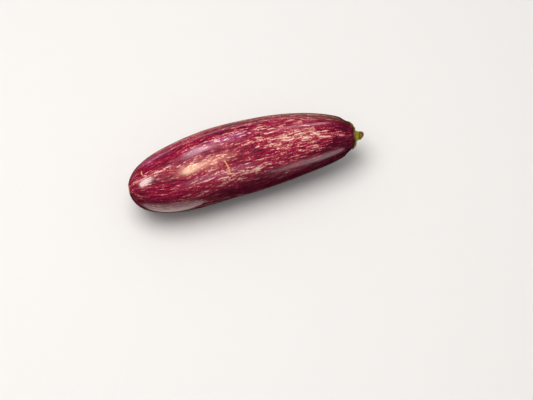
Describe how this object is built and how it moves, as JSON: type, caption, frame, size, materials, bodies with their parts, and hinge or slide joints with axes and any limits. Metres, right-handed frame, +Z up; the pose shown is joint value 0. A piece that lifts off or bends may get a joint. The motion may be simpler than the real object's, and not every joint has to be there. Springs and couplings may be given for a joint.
{
  "type": "eggplant",
  "caption": "Whole slim eggplant lying on its side, slightly bent, with cream-flecked purple skin, a short leathery calyx and a cut green stem stub.",
  "frame": {"origin": "centre of the base of the whole object's box, on the surface it lies on", "axes": "+X along the fruit's length, from the blossom end towards the stem; +Y towards the outside of its bend; +Z up"},
  "size_m": [0.201, 0.0612, 0.0602],
  "materials": {
    "skin": "gloss",
    "calyx": "matte",
    "stem": "satin"
  },
  "bodies": {
    "root": {"fruit": "skin", "calyx": "calyx", "stem": "stem"}
  },
  "joints": []
}
